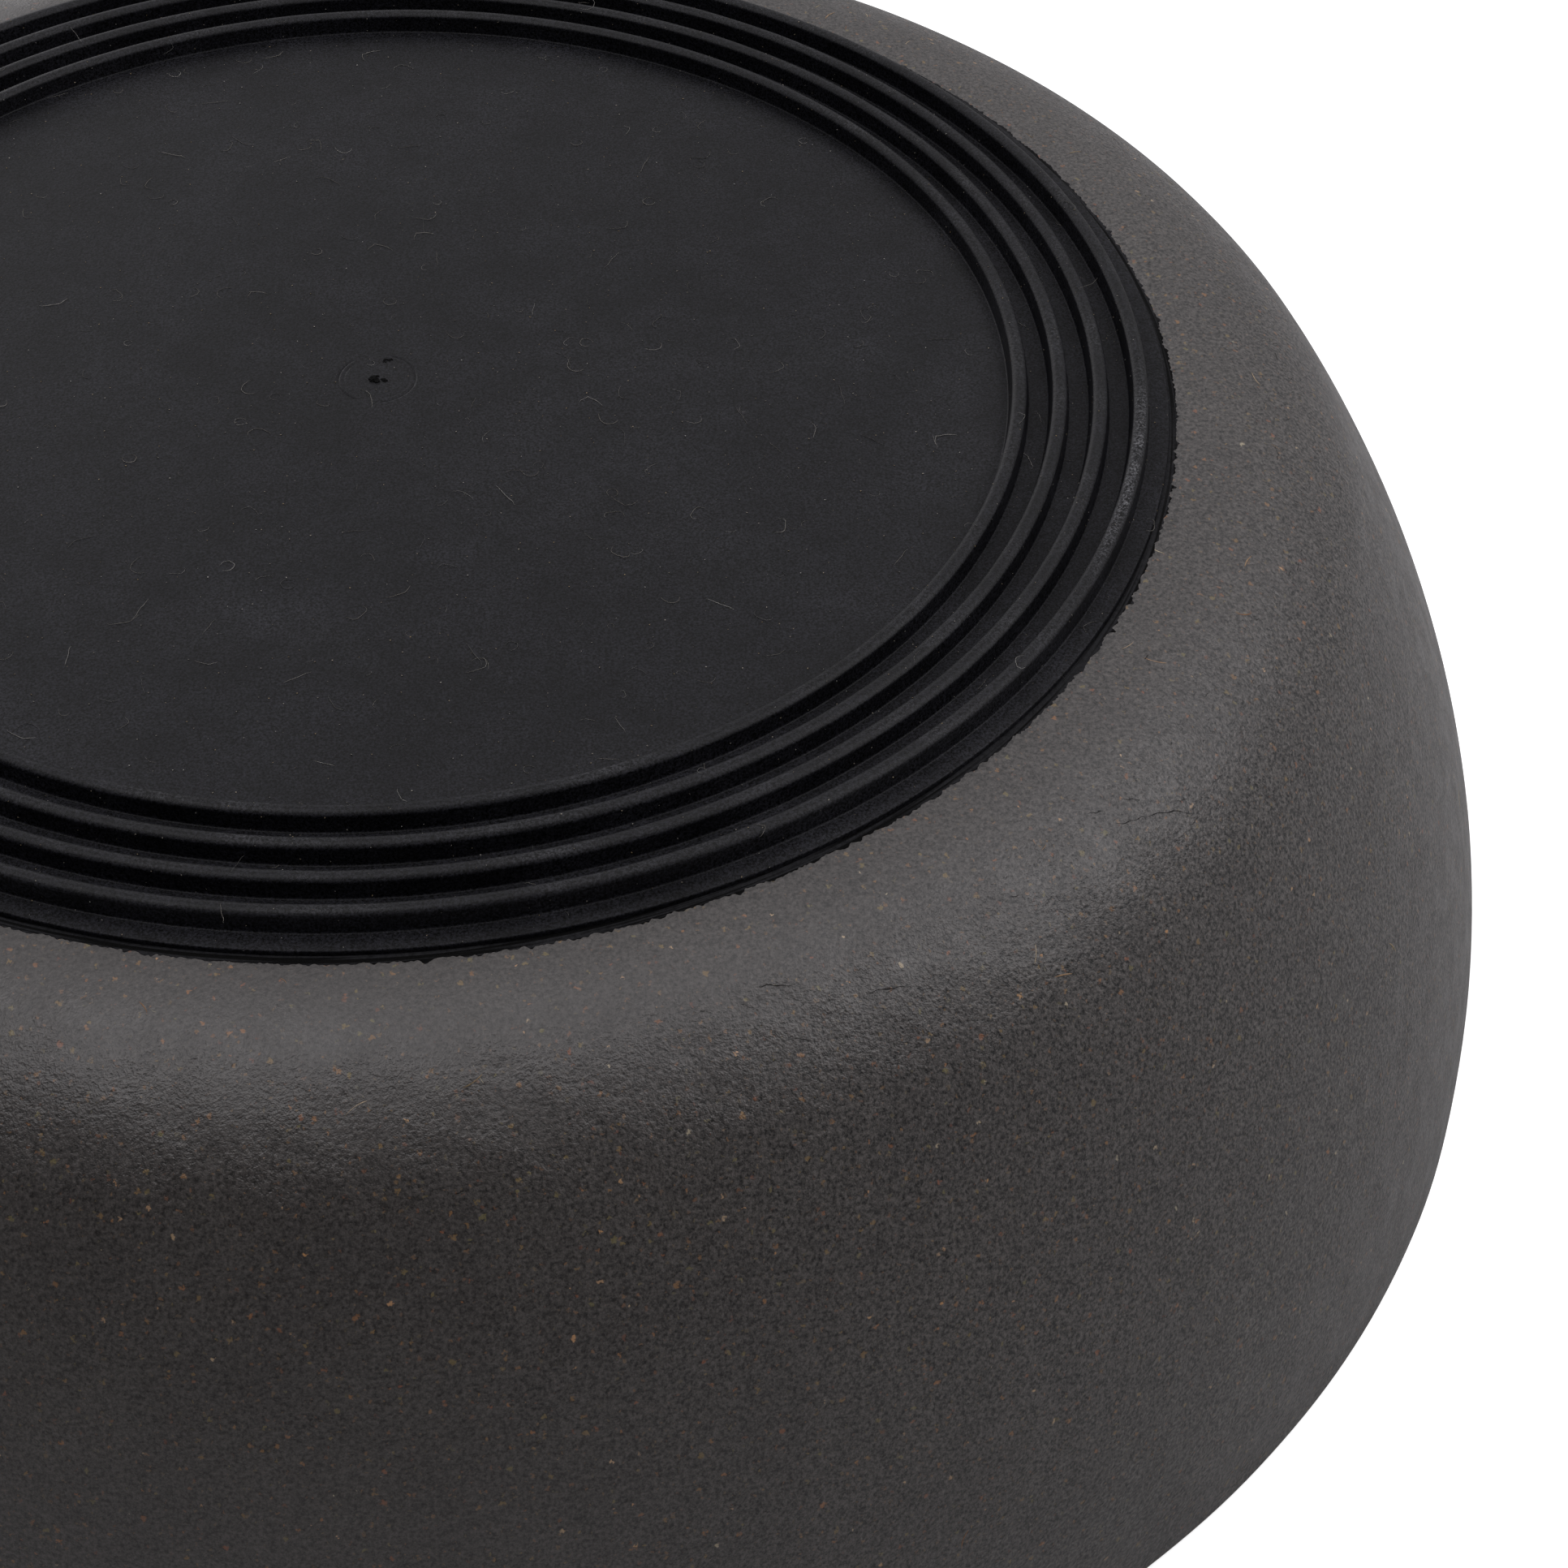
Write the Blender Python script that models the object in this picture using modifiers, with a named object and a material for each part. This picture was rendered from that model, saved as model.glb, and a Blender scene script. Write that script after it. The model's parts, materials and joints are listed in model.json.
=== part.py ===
"""A moulded fibre-composite bowl with a ribbed rubber base, standing upside down on its rim.

Metres, +Z up. The origin is on the bowl's axis, in the plane of the rim that it stands on.
Each piece is a turned shape: a profile in the XZ plane, swept round Z by a Screw modifier.
"""

from math import asin, cos, degrees, radians, sin

import bpy

MM = 0.001
COLLECTION = "bowl_with_rubber_base"
TURN_STEPS = 72  # facets round every turned piece
TOUCH_GAP = 0.3 * MM  # clearance between pieces that touch on the real bowl
SMOOTH_LIMIT = radians(32)  # edges bent more than this stay crisp

# Overall sizes of the bowl
HEIGHT = 64.35 * MM  # rim plane to the crests of the ribs
FOOT_RADIUS = 67.5 * MM  # flat foot, where the shoulder starts
CREST_TO_FOOT = 2.45 * MM  # ribs' crests above the composite beside the pad

# Outer side of the shell, as tangent arcs. Each angle is the surface's slope: 90 faces up, 0 sideways.
SHOULDER_RADIUS = 20.1 * MM
SHOULDER_END = 32.5
SIDE_RADIUS = 104.7 * MM
SIDE_END = 16.7
SKIRT_RADIUS = 89.2 * MM  # lowest part of the side, upright where it meets the lip

# Shell thickness and lip
WALL = 4.2 * MM
FLOOR = 4.0 * MM  # composite between the pad's recess and the inside of the bowl
LIP_OUTER_RADIUS = 0.8 * MM
LIP_INNER_RADIUS = 1.6 * MM

# Rubber pad
RIB_COUNT = 4
RIB_FIRST_RADIUS = 54.15 * MM  # middle of the innermost rib
RIB_PITCH = 3.38 * MM
RIB_HEIGHT = 1.8 * MM
RIB_FOOT_WIDTH = 1.6 * MM
RIB_TOP_WIDTH = 1.3 * MM
RIB_EDGE_RADIUS = 0.32 * MM
RIB_CROWN = 12  # slope in degrees where the slightly rounded crest meets its edges
PAD_RADIUS = 66.8 * MM
PAD_THICKNESS = 2.0 * MM  # underside to the disc, valleys and flange
PAD_EDGE_RADIUS = 0.15 * MM
SPRUE_RADIUS = 3.2 * MM  # shallow round well left by the moulding sprue
SPRUE_DEPTH = 0.12 * MM

# Adhesive film under the pad
FILM_RADIUS = 65.0 * MM
FILM_THICKNESS = 0.5 * MM

# Heights that follow from the sizes above
FOOT_Z = HEIGHT - CREST_TO_FOOT
PAD_TOP_Z = HEIGHT - RIB_HEIGHT
PAD_BOTTOM_Z = PAD_TOP_Z - PAD_THICKNESS
FILM_TOP_Z = PAD_BOTTOM_Z - TOUCH_GAP
FILM_BOTTOM_Z = FILM_TOP_Z - FILM_THICKNESS
RECESS_Z = FILM_BOTTOM_Z - TOUCH_GAP
RECESS_RADIUS = PAD_RADIUS + TOUCH_GAP
INSIDE_Z = RECESS_Z - FLOOR


def arc(centre, radius, start, end, steps):
    """Points on an arc about (r, z), from one slope angle to another in degrees, both ends included."""
    turn = (end - start) / steps
    angles = [radians(start + turn * step) for step in range(steps + 1)]
    return [(centre[0] + radius * cos(a), centre[1] + radius * sin(a)) for a in angles]


def tangent_arc(point, radius, start, end, steps):
    """The arc that leaves a point with the slope angle start, and the centre it turns about."""
    centre = (point[0] - radius * cos(radians(start)), point[1] - radius * sin(radians(start)))
    return arc(centre, radius, start, end, steps), centre


def shell_outline():
    """Profile of the shell: recess, foot, outer side, lip, inside, back to the axis."""
    shoulder, _ = tangent_arc((FOOT_RADIUS, FOOT_Z), SHOULDER_RADIUS, 90, SHOULDER_END, 9)
    side, side_centre = tangent_arc(shoulder[-1], SIDE_RADIUS, SHOULDER_END, SIDE_END, 4)
    skirt, skirt_centre = tangent_arc(side[-1], SKIRT_RADIUS, SIDE_END, 0, 4)
    rim_radius = skirt[-1][0]

    lip_outer_centre = (rim_radius - LIP_OUTER_RADIUS, LIP_OUTER_RADIUS)
    lip_inner_centre = (rim_radius - WALL + LIP_INNER_RADIUS, LIP_INNER_RADIUS)
    lip = arc(lip_outer_centre, LIP_OUTER_RADIUS, 0, -90, 4)
    lip += arc(lip_inner_centre, LIP_INNER_RADIUS, -90, -180, 4)

    inner_radius = SKIRT_RADIUS - WALL
    inner_start = degrees(asin((LIP_INNER_RADIUS - skirt_centre[1]) / inner_radius))
    inner_skirt = arc(skirt_centre, inner_radius, inner_start, SIDE_END, 4)
    inner_side = arc(side_centre, SIDE_RADIUS - WALL, SIDE_END, SHOULDER_END, 4)
    side_top_r, side_top_z = inner_side[-1]
    corner_radius = (INSIDE_Z - side_top_z) / (1 - sin(radians(SHOULDER_END)))
    corner_centre = (side_top_r - corner_radius * cos(radians(SHOULDER_END)), INSIDE_Z - corner_radius)
    inner_corner = arc(corner_centre, corner_radius, SHOULDER_END, 90, 7)

    recess = [(0, RECESS_Z), (RECESS_RADIUS, RECESS_Z), (RECESS_RADIUS, FOOT_Z)]
    outside = shoulder + side[1:] + skirt[1:]
    inside = inner_skirt[1:] + inner_side[1:] + inner_corner[1:]
    return recess + outside + lip[1:] + inside + [(0, INSIDE_Z)]


def rib_outline(middle):
    """Profile of one rib, from its inner foot to its outer foot: drafted walls, rounded edges, crowned crest."""
    reach = RIB_TOP_WIDTH / 2 - RIB_EDGE_RADIUS
    crown_radius = reach / sin(radians(RIB_CROWN)) + RIB_EDGE_RADIUS
    # The middle facet of the crest is level, at the full height
    crown_z = HEIGHT - crown_radius * cos(radians(RIB_CROWN / 3))
    edge_z = crown_z + (crown_radius - RIB_EDGE_RADIUS) * cos(radians(RIB_CROWN))
    points = [(middle - RIB_FOOT_WIDTH / 2, PAD_TOP_Z)]
    points += arc((middle - reach, edge_z), RIB_EDGE_RADIUS, 180, 90 + RIB_CROWN, 3)
    points += arc((middle, crown_z), crown_radius, 90 + RIB_CROWN, 90 - RIB_CROWN, 3)[1:-1]
    points += arc((middle + reach, edge_z), RIB_EDGE_RADIUS, 90 - RIB_CROWN, 0, 3)
    points.append((middle + RIB_FOOT_WIDTH / 2, PAD_TOP_Z))
    return points


def pad_outline():
    """Profile of the pad: sprue well, disc, ribs, flange, rounded edge, flat underside."""
    well_z = PAD_TOP_Z - SPRUE_DEPTH
    points = [(0, well_z), (SPRUE_RADIUS - SPRUE_DEPTH, well_z), (SPRUE_RADIUS, PAD_TOP_Z)]
    for index in range(RIB_COUNT):
        points += rib_outline(RIB_FIRST_RADIUS + index * RIB_PITCH)
    edge_centre = (PAD_RADIUS - PAD_EDGE_RADIUS, PAD_TOP_Z - PAD_EDGE_RADIUS)
    points += arc(edge_centre, PAD_EDGE_RADIUS, 90, 0, 3)
    return points + [(PAD_RADIUS, PAD_BOTTOM_Z), (0, PAD_BOTTOM_Z)]


def film_outline():
    """Profile of the adhesive film, a plain thin disc."""
    return [(0, FILM_TOP_Z), (FILM_RADIUS, FILM_TOP_Z), (FILM_RADIUS, FILM_BOTTOM_Z), (0, FILM_BOTTOM_Z)]


def material(name, colour, roughness, metallic=0.0):
    """A Principled material in one linear colour."""
    made = bpy.data.materials.new(name)
    made.use_nodes = True
    shader = made.node_tree.nodes["Principled BSDF"]
    shader.inputs["Base Color"].default_value = (*colour, 1)
    shader.inputs["Roughness"].default_value = roughness
    shader.inputs["Metallic"].default_value = metallic
    return made


def turned(name, outline, surface, collection):
    """A named solid: the outline, top to bottom down its outer side, swept once round Z."""
    profile = bpy.data.meshes.new(name + "_profile")
    links = [(index, index + 1) for index in range(len(outline) - 1)]
    profile.from_pydata([(r, 0, z) for r, z in outline], links, [])
    piece = bpy.data.objects.new(name, profile)
    collection.objects.link(piece)

    screw = piece.modifiers.new("turn", "SCREW")
    screw.axis = "Z"
    screw.steps = TURN_STEPS
    screw.render_steps = TURN_STEPS
    screw.use_merge_vertices = True
    screw.merge_threshold = 0.01 * MM

    evaluated = piece.evaluated_get(bpy.context.evaluated_depsgraph_get())
    solid = bpy.data.meshes.new_from_object(evaluated)
    solid.name = name
    solid.shade_smooth()
    solid.set_sharp_from_angle(angle=SMOOTH_LIMIT)
    piece.modifiers.clear()
    piece.data = solid
    bpy.data.meshes.remove(profile)
    solid.materials.append(surface)
    return piece


def main():
    for old in list(bpy.data.objects):
        bpy.data.objects.remove(old)
    collection = bpy.data.collections.new(COLLECTION)
    bpy.context.scene.collection.children.link(collection)

    composite = material("fibre_composite", (0.068, 0.060, 0.053), 0.55)
    rubber = material("moulded_rubber", (0.020, 0.020, 0.022), 0.50)
    adhesive = material("contact_adhesive", (0.45, 0.36, 0.20), 0.60)

    turned("bowl_body", shell_outline(), composite, collection)
    turned("base_pad", pad_outline(), rubber, collection)
    turned("pad_adhesive", film_outline(), adhesive, collection)


main()
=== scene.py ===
import json
import random
from math import asin, cos, pi, radians, sin

import bmesh
import bpy
from bpy.props import FloatProperty, FloatVectorProperty, IntProperty, PointerProperty
from mathutils import Matrix, Vector, noise

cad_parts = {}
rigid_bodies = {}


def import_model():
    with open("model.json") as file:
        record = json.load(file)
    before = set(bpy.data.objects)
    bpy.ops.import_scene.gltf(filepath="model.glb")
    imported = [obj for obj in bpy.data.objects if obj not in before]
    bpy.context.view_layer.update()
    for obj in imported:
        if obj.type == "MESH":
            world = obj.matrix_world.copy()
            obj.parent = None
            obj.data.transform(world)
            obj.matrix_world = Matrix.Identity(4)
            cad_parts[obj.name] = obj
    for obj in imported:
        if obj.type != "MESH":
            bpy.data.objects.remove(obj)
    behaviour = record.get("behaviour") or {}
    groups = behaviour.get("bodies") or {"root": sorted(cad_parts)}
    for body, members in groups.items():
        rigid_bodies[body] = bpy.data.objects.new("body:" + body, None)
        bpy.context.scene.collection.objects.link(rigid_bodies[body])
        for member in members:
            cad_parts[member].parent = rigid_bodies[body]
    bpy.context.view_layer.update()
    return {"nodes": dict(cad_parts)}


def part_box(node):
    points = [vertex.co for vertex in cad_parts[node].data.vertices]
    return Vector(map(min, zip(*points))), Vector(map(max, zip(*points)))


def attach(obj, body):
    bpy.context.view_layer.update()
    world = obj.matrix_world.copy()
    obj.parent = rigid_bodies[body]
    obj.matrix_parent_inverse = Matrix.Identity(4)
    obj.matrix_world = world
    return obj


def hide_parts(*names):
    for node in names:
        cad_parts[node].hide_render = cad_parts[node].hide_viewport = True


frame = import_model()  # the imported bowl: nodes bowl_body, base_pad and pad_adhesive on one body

bl_info = {
    "name": "Fibre Bowl With Rubber Base",
    "version": (1, 0, 0),
    "blender": (4, 5, 0),
    "location": "View3D > Sidebar > Bowl",
    "description": "Builds an upturned fibre-composite bowl with a ribbed rubber base and its studio",
    "category": "Add Mesh",
}

MM = 0.001
BODY = "root"
SHELL_LOW, SHELL_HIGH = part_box("bowl_body")
PAD_LOW, PAD_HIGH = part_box("base_pad")
SHARP_EDGE = radians(32)
ABOVE = Vector((0, 0, 1))


# ---------------------------------------------------------------- sizes and colours a user may change


def length(name, description, millimetres, **more):
    """A length property, given in millimetres and kept in metres."""
    return FloatProperty(
        name=name, description=description, default=millimetres * MM, unit="LENGTH", precision=5, **more
    )


def angle(name, description, degrees_given):
    """An angle property, given in degrees and kept in radians."""
    return FloatProperty(name=name, description=description, default=radians(degrees_given), subtype="ANGLE")


def number(name, description, amount):
    """A plain property that isn't negative."""
    return FloatProperty(name=name, description=description, default=amount, min=0)


def count(name, description, amount, least=1):
    """A whole-number property."""
    return IntProperty(name=name, description=description, default=amount, min=least)


class ShellSettings(bpy.types.PropertyGroup):
    """Sizes of the moulded shell. Its outer sizes come from the frame."""

    shoulder_radius: length("Shoulder radius", "Arc between the foot and the side", 20.1)
    shoulder_end: angle("Shoulder end", "Slope where the shoulder ends", 32.5)
    side_radius: length("Side radius", "Arc of the upper side", 104.7)
    side_end: angle("Side end", "Slope where the side arc ends", 16.7)
    wall: length("Wall", "Thickness of the side", 4.2)
    floor: length("Floor", "Thickness under the pad's recess", 4.0)
    lip_outer: length("Outer lip radius", "Rounding outside the rim", 0.8)
    lip_inner: length("Inner lip radius", "Rounding inside the rim", 1.6)
    recess_clearance: length("Recess clearance", "Gap between the pad and its recess", 0.3)
    recess_depth: length("Recess depth", "Depth of the pad's recess below the foot", 2.45)
    unevenness: length("Unevenness", "Height of the mould's slow waves on the outside", 0.035)
    segments: count("Segments", "Facets round the bowl", 360, 24)


class PadSettings(bpy.types.PropertyGroup):
    """Sizes of the moulded rubber pad. Its outer sizes come from the frame."""

    ribs: count("Ribs", "Number of concentric ribs", 4)
    first_rib: length("First rib", "Radius of the innermost rib's middle", 54.15)
    rib_pitch: length("Rib pitch", "Distance between ribs", 3.38)
    rib_height: length("Rib height", "Crest above the disc", 1.8)
    rib_top: length("Rib crest width", "Width across the crest", 1.3)
    rib_foot: length("Rib foot width", "Width at the foot of the walls", 1.6)
    rib_edge: length("Rib edge radius", "Rounding along each side of the crest", 0.32)
    crown: angle("Crown", "Slope where the rounded crest meets its edges, off level", 48)
    fillet: length("Foot fillet", "Rounding in the corner at the foot of a rib", 0.16)
    flange_edge: length("Flange edge radius", "Rounding at the pad's outer edge", 0.15)
    flange_roll: length("Flange roll radius", "Slight rounding of the flange towards that edge", 6.0)
    gate_ring: length("Gate ring", "Radius of the witness line round the gate", 3.25)
    gate_groove: length("Gate groove", "Greatest depth of that line", 0.3)
    gate_offset: length("Gate offset", "From the axis towards the camera to the gate's middle", 0.65)
    unevenness: length("Unevenness", "Height of the rubber's slow waves", 0.02)
    segments: count("Segments", "Facets round the pad", 480, 24)


class FlashSettings(bpy.types.PropertyGroup):
    """The trimmed flash that sticks out from under the pad's edge."""

    steps: count("Steps", "Number of thin cut layers", 3)
    reach: length("Reach", "From the pad's edge to the flash's mean edge", 0.66)
    layer: length("Layer", "Thickness of one cut layer", 0.032)
    raggedness: length("Raggedness", "How far the torn edge wanders", 0.19)
    tags: length("Tags", "Length of the longest torn tags", 0.6)
    segments: count("Segments", "Facets round the flash", 3600, 24)


class ScarSettings(bpy.types.PropertyGroup):
    """The torn rubber left where the gate was broken off."""

    height: length("Height", "Height of the largest stub", 0.16)
    seed: count("Seed", "Choice of rag", 5)
    raggedness: number("Raggedness", "Unevenness of the stubs", 0.8)


class WrinkleSettings(bpy.types.PropertyGroup):
    """Hairline creases in the shell's skin, round the shoulder."""

    number: count("Number", "Creases placed at random", 240)
    seed: count("Seed", "Choice of random places", 11, 0)
    width: length("Width", "Widest part of a crease", 0.09)


def scatter_settings(density, smallest, largest, seed):
    """The properties that every scattered kind of bit has."""
    return {
        "density": number("Density", "Bits on a square centimetre", density),
        "smallest": number("Smallest", "Size of the smallest bit, as a share of the full size", smallest),
        "largest": number("Largest", "Size of the largest bit, as a share of the full size", largest),
        "seed": count("Seed", "Choice of random places", seed, 0),
    }


class SliverSettings(bpy.types.PropertyGroup):
    """Pale slivers of bamboo fibre in the shell's skin."""

    __annotations__ = scatter_settings(1.2, 0.22, 1.0, 4)
    __annotations__["sliver_length"] = length("Length", "Length of the largest sliver", 2.0)
    __annotations__["sliver_width"] = length("Width", "Width of the largest sliver", 0.15)


class DustSettings(bpy.types.PropertyGroup):
    """Grains of pale dust on the rubber."""

    __annotations__ = scatter_settings(18.0, 0.35, 1.0, 7)
    __annotations__["grain"] = length("Grain", "Width of the largest grain", 0.16)


class LintSettings(bpy.types.PropertyGroup):
    """Short curled hairs of lint on the rubber."""

    __annotations__ = scatter_settings(3.6, 0.25, 1.0, 3)
    __annotations__["hair"] = length("Hair", "Length of the longest hair", 3.1)
    __annotations__["thickness"] = length("Thickness", "Thickness of a hair", 0.045)


class StageSettings(bpy.types.PropertyGroup):
    """The camera, the floor and the lights."""

    distance: length("Camera distance", "From the middle of the pad to the lens", 297.7)
    elevation: angle("Elevation", "Angle of that line above level", 36.9)
    turn: angle("Turn", "Camera turned sideways off the pad", -8.51)
    tilt: angle("Tilt", "Camera tilted below the pad", -7.12)
    roll: angle("Roll", "Roll about the line of sight", 1.41)
    lens: number("Lens", "Focal length in millimetres on a 36 mm wide sensor", 80.2)
    floor_colour: FloatVectorProperty(
        name="Floor colour", description="Pale studio floor", default=(0.52, 0.52, 0.52), subtype="COLOR"
    )
    floor_glow: number("Floor glow", "Light that whitens the floor to the camera alone", 0.8)
    room: number("Room", "Brightness of the room low down, behind and to the right", 0.50)
    front: number("Front", "Brightness of the room low down at the front left", 0.02)
    ceiling: number("Ceiling", "Brightness added high up and behind", 0.52)


# Marks on the pad
GATE_RING_GAP = 0.45 * MM  # from the clear witness line in to the faint one
GATE_LINE_STEP = 0.1 * MM  # between the points across a witness line
SCUFF_PLACE = (60.6, -21.5, PAD_HIGH.z / MM)  # middle of the strong scuff on the outer rib, in millimetres
SCUFF_REACH = 15.0  # millimetres from there to where the scuff ends

FLOOR_SIDE = 12  # metres
BACKDROP = 0.9  # brightness of the room to the camera alone
LIGHT_TINT = (1.0, 0.985, 1.01)  # the lights' faint mauve

# Soft boxes: name, heading and height above the horizon in degrees, brightness, side in metres, 1 m away.
# Heading 0 is to the camera's right, 90 is behind the bowl.
SOFT_BOXES = (
    ("right_softbox", -5, 48, 2.54, 0.64),
    ("overhead_softbox", 0, 90, 1.25, 0.56),
    ("left_softbox", 200, 68, 2.8, 0.5),
    ("back_softbox", 112, 16, 2.0, 0.38),
)


# ---------------------------------------------------------------- turned outlines


def arc(centre, radius, start, end, steps):
    """Points on an arc about (r, z), between two slope angles in radians, both ends included."""
    angles = [start + (end - start) * step / steps for step in range(steps + 1)]
    return [(centre[0] + radius * cos(a), centre[1] + radius * sin(a)) for a in angles]


def tangent_arc(point, radius, start, end, steps):
    """The arc that leaves a point with the slope angle start, and the centre it turns about."""
    centre = (point[0] - radius * cos(start), point[1] - radius * sin(start))
    return arc(centre, radius, start, end, steps), centre


def shell_arcs(size):
    """The outer side as three tangent arcs, and the centres and radius that the inside shares with them."""
    up, foot_z, rim_radius = pi / 2, SHELL_HIGH.z, SHELL_HIGH.x
    shoulder_drop = size.shoulder_radius * (1 - sin(size.shoulder_end))
    side_drop = size.side_radius * (sin(size.shoulder_end) - sin(size.side_end))
    skirt_radius = (foot_z - shoulder_drop - side_drop - size.lip_outer) / sin(size.side_end)
    side_reach = size.side_radius * (cos(size.side_end) - cos(size.shoulder_end))
    skirt_reach = skirt_radius * (1 - cos(size.side_end))
    foot_radius = rim_radius - skirt_reach - side_reach - size.shoulder_radius * cos(size.shoulder_end)

    shoulder, shoulder_centre = tangent_arc(
        (foot_radius, foot_z), size.shoulder_radius, up, size.shoulder_end, 40
    )
    side, side_centre = tangent_arc(shoulder[-1], size.side_radius, size.shoulder_end, size.side_end, 22)
    skirt, skirt_centre = tangent_arc(side[-1], skirt_radius, size.side_end, 0, 20)
    return shoulder + side[1:] + skirt[1:], shoulder_centre, side_centre, skirt_centre, skirt_radius


def shell_outline(size):
    """Profile of the shell: recess, foot, outer side, lip, inside, back to the axis."""
    up, foot_z, rim_radius = pi / 2, SHELL_HIGH.z, SHELL_HIGH.x
    outside, _, side_centre, skirt_centre, skirt_radius = shell_arcs(size)
    lip_outer_centre = (rim_radius - size.lip_outer, size.lip_outer)
    lip_inner_centre = (rim_radius - size.wall + size.lip_inner, size.lip_inner)
    lip = arc(lip_outer_centre, size.lip_outer, 0, -up, 8)
    lip += arc(lip_inner_centre, size.lip_inner, -up, -pi, 10)

    inner_radius = skirt_radius - size.wall
    inner_start = asin((size.lip_inner - skirt_centre[1]) / inner_radius)
    inner_skirt = arc(skirt_centre, inner_radius, inner_start, size.side_end, 16)
    inner_side = arc(side_centre, size.side_radius - size.wall, size.side_end, size.shoulder_end, 16)
    recess_z = foot_z - size.recess_depth
    inside_z = recess_z - size.floor
    corner_radius = (inside_z - inner_side[-1][1]) / (1 - sin(size.shoulder_end))
    corner_centre = (inner_side[-1][0] - corner_radius * cos(size.shoulder_end), inside_z - corner_radius)
    inner_corner = arc(corner_centre, corner_radius, size.shoulder_end, up, 14)

    recess_radius = PAD_HIGH.x + size.recess_clearance
    recess = [(0, recess_z), (recess_radius, recess_z), (recess_radius, foot_z)]
    inside = inner_skirt[1:] + inner_side[1:] + inner_corner[1:]
    return recess + outside + lip[1:] + inside + [(0, inside_z)]


def rib_outline(size, middle, disc_z):
    """Profile of one rib: foot fillet, drafted wall, rounded edge, crowned crest, and the same back down."""
    reach, half_foot, up = size.rib_top / 2 - size.rib_edge, size.rib_foot / 2, pi / 2
    crown_radius = reach / sin(size.crown) + size.rib_edge
    crown_z = disc_z + size.rib_height - crown_radius
    edge_z = crown_z + (crown_radius - size.rib_edge) * cos(size.crown)
    inner_foot = (middle - half_foot - size.fillet, disc_z + size.fillet)
    outer_foot = (middle + half_foot + size.fillet, disc_z + size.fillet)
    points = arc(inner_foot, size.fillet, -up, 0, 4)
    points += arc((middle - reach, edge_z), size.rib_edge, pi, up + size.crown, 6)
    points += arc((middle, crown_z), crown_radius, up + size.crown, up - size.crown, 6)[1:-1]
    points += arc((middle + reach, edge_z), size.rib_edge, up - size.crown, 0, 6)
    return points + arc(outer_foot, size.fillet, pi, pi * 1.5, 4)


def pad_outline(size):
    """Profile of the pad: witness lines round the gate, disc, ribs, flange, rounded edge, flat underside."""
    disc_z = PAD_HIGH.z - size.rib_height
    points = [(0, disc_z)]
    for ring in gate_rings(size):
        points += [(ring + step * GATE_LINE_STEP, disc_z) for step in (-2, -1, 0, 1, 2)]
    plain_rings = 10  # across the disc, so that no facet there is long and thin
    start = size.gate_ring + 1 * MM
    ring_step = (size.first_rib - size.rib_foot - start) / plain_rings
    points += [(start + ring_step * ring, disc_z) for ring in range(plain_rings + 1)]
    for index in range(size.ribs):
        points += rib_outline(size, size.first_rib + index * size.rib_pitch, disc_z)
    slope = radians(81)  # where the roll meets the edge
    start = PAD_HIGH.x - size.flange_roll * cos(slope) - size.flange_edge * (1 - cos(slope))
    roll, _ = tangent_arc((start, disc_z), size.flange_roll, pi / 2, slope, 4)
    edge, _ = tangent_arc(roll[-1], size.flange_edge, slope, 0, 6)
    points += roll + edge[1:]
    return points + [(PAD_HIGH.x, PAD_LOW.z), (0, PAD_LOW.z)]


def gate_rings(size):
    """Radii of the faint inner and the clear outer witness line."""
    return (size.gate_ring - GATE_RING_GAP, size.gate_ring)


def linked(name, mesh):
    """A new object in the scene that holds a mesh."""
    piece = bpy.data.objects.new(name, mesh)
    bpy.context.scene.collection.objects.link(piece)
    return piece


def turned(name, outline, segments, surface=None):
    """A named mesh object at the origin: the outline, top to bottom, swept once round Z."""
    profile = bpy.data.meshes.new(name + "_profile")
    links = [(index, index + 1) for index in range(len(outline) - 1)]
    profile.from_pydata([(r, 0, z) for r, z in outline], links, [])
    piece = linked(name, profile)
    screw = piece.modifiers.new("turn", "SCREW")
    screw.axis = "Z"
    screw.steps = segments
    screw.render_steps = segments
    screw.use_merge_vertices = True
    screw.merge_threshold = 0.005 * MM
    mesh = made_mesh(piece)
    piece.modifiers.clear()
    piece.data = mesh
    bpy.data.meshes.remove(profile)
    mesh.name = name
    mesh.shade_smooth()
    mesh.set_sharp_from_angle(angle=SHARP_EDGE)
    if surface:
        mesh.materials.append(surface)
    return piece


def shaped(name, shape, surface=None):
    """A mesh with what was drawn in a bmesh, which is freed."""
    mesh = bpy.data.meshes.new(name)
    shape.to_mesh(mesh)
    shape.free()
    if surface:
        mesh.materials.append(surface)
    return mesh


def made_mesh(piece):
    """A plain mesh of an object with its modifiers applied."""
    evaluated = piece.evaluated_get(bpy.context.evaluated_depsgraph_get())
    return bpy.data.meshes.new_from_object(evaluated)


def waved(mesh, height, wavelength, chosen):
    """Moves the chosen points along their normals in slow random waves."""
    moved = []
    for vertex in mesh.vertices:
        rise = height * noise.noise(vertex.co / wavelength) if chosen(vertex) else 0.0
        moved.extend(vertex.co + vertex.normal * rise)
    mesh.vertices.foreach_set("co", moved)
    mesh.update()


# ---------------------------------------------------------------- scattered bits


def feed(tree, node, sources):
    """Links each named input of a node to a socket, or sets it to a value."""
    for name, source in sources.items():
        if isinstance(source, bpy.types.NodeSocket):
            tree.links.new(source, node.inputs[name])
        else:
            node.inputs[name].default_value = source


def add(tree, kind, sources=None, **settings):
    """Adds a node, sets its settings, and feeds its inputs."""
    node = tree.nodes.new(kind)
    for key, value in settings.items():
        setattr(node, key, value)
    feed(tree, node, sources or {})
    return node


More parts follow.
